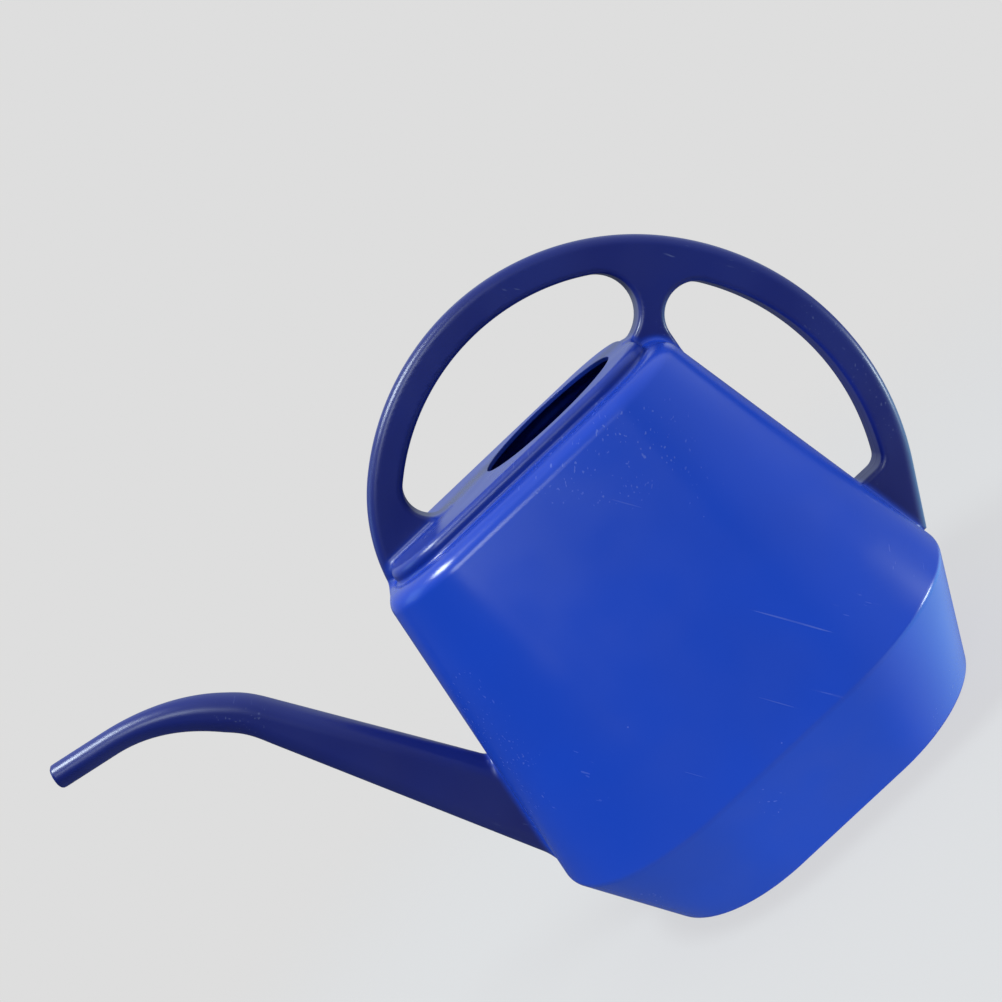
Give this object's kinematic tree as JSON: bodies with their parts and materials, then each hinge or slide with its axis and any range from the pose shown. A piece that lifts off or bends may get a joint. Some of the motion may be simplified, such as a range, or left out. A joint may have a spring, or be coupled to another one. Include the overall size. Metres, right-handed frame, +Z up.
{
  "type": "watering can",
  "caption": "Long-spouted plastic watering can with a flared base, an open round fill hole and a hoop handle.",
  "frame": {"origin": "on the floor under the middle of the tank, at the centre of the foot's flat ring", "axes": "+Z up; +X from the tank towards the handle, so the spout points to -X; Y across the can, which is symmetric about Y = 0"},
  "size_m": [0.3564, 0.1656, 0.2428],
  "materials": {
    "tank_plastic": "royal blue polyethylene, semi-gloss, faintly scratched",
    "limb_plastic": "the same blue polyethylene, darker in the hollow handle and spout, semi-gloss"
  },
  "bodies": {
    "root": {"base_tub": "tank_plastic", "tank_wall": "tank_plastic", "deck": "tank_plastic", "spout_root": "limb_plastic", "spout_neck": "limb_plastic", "spout_tip": "limb_plastic", "handle_front_foot": "limb_plastic", "carry_grip": "limb_plastic", "pour_grip": "limb_plastic", "handle_rear_foot": "limb_plastic", "finger_strut": "limb_plastic"}
  },
  "joints": []
}
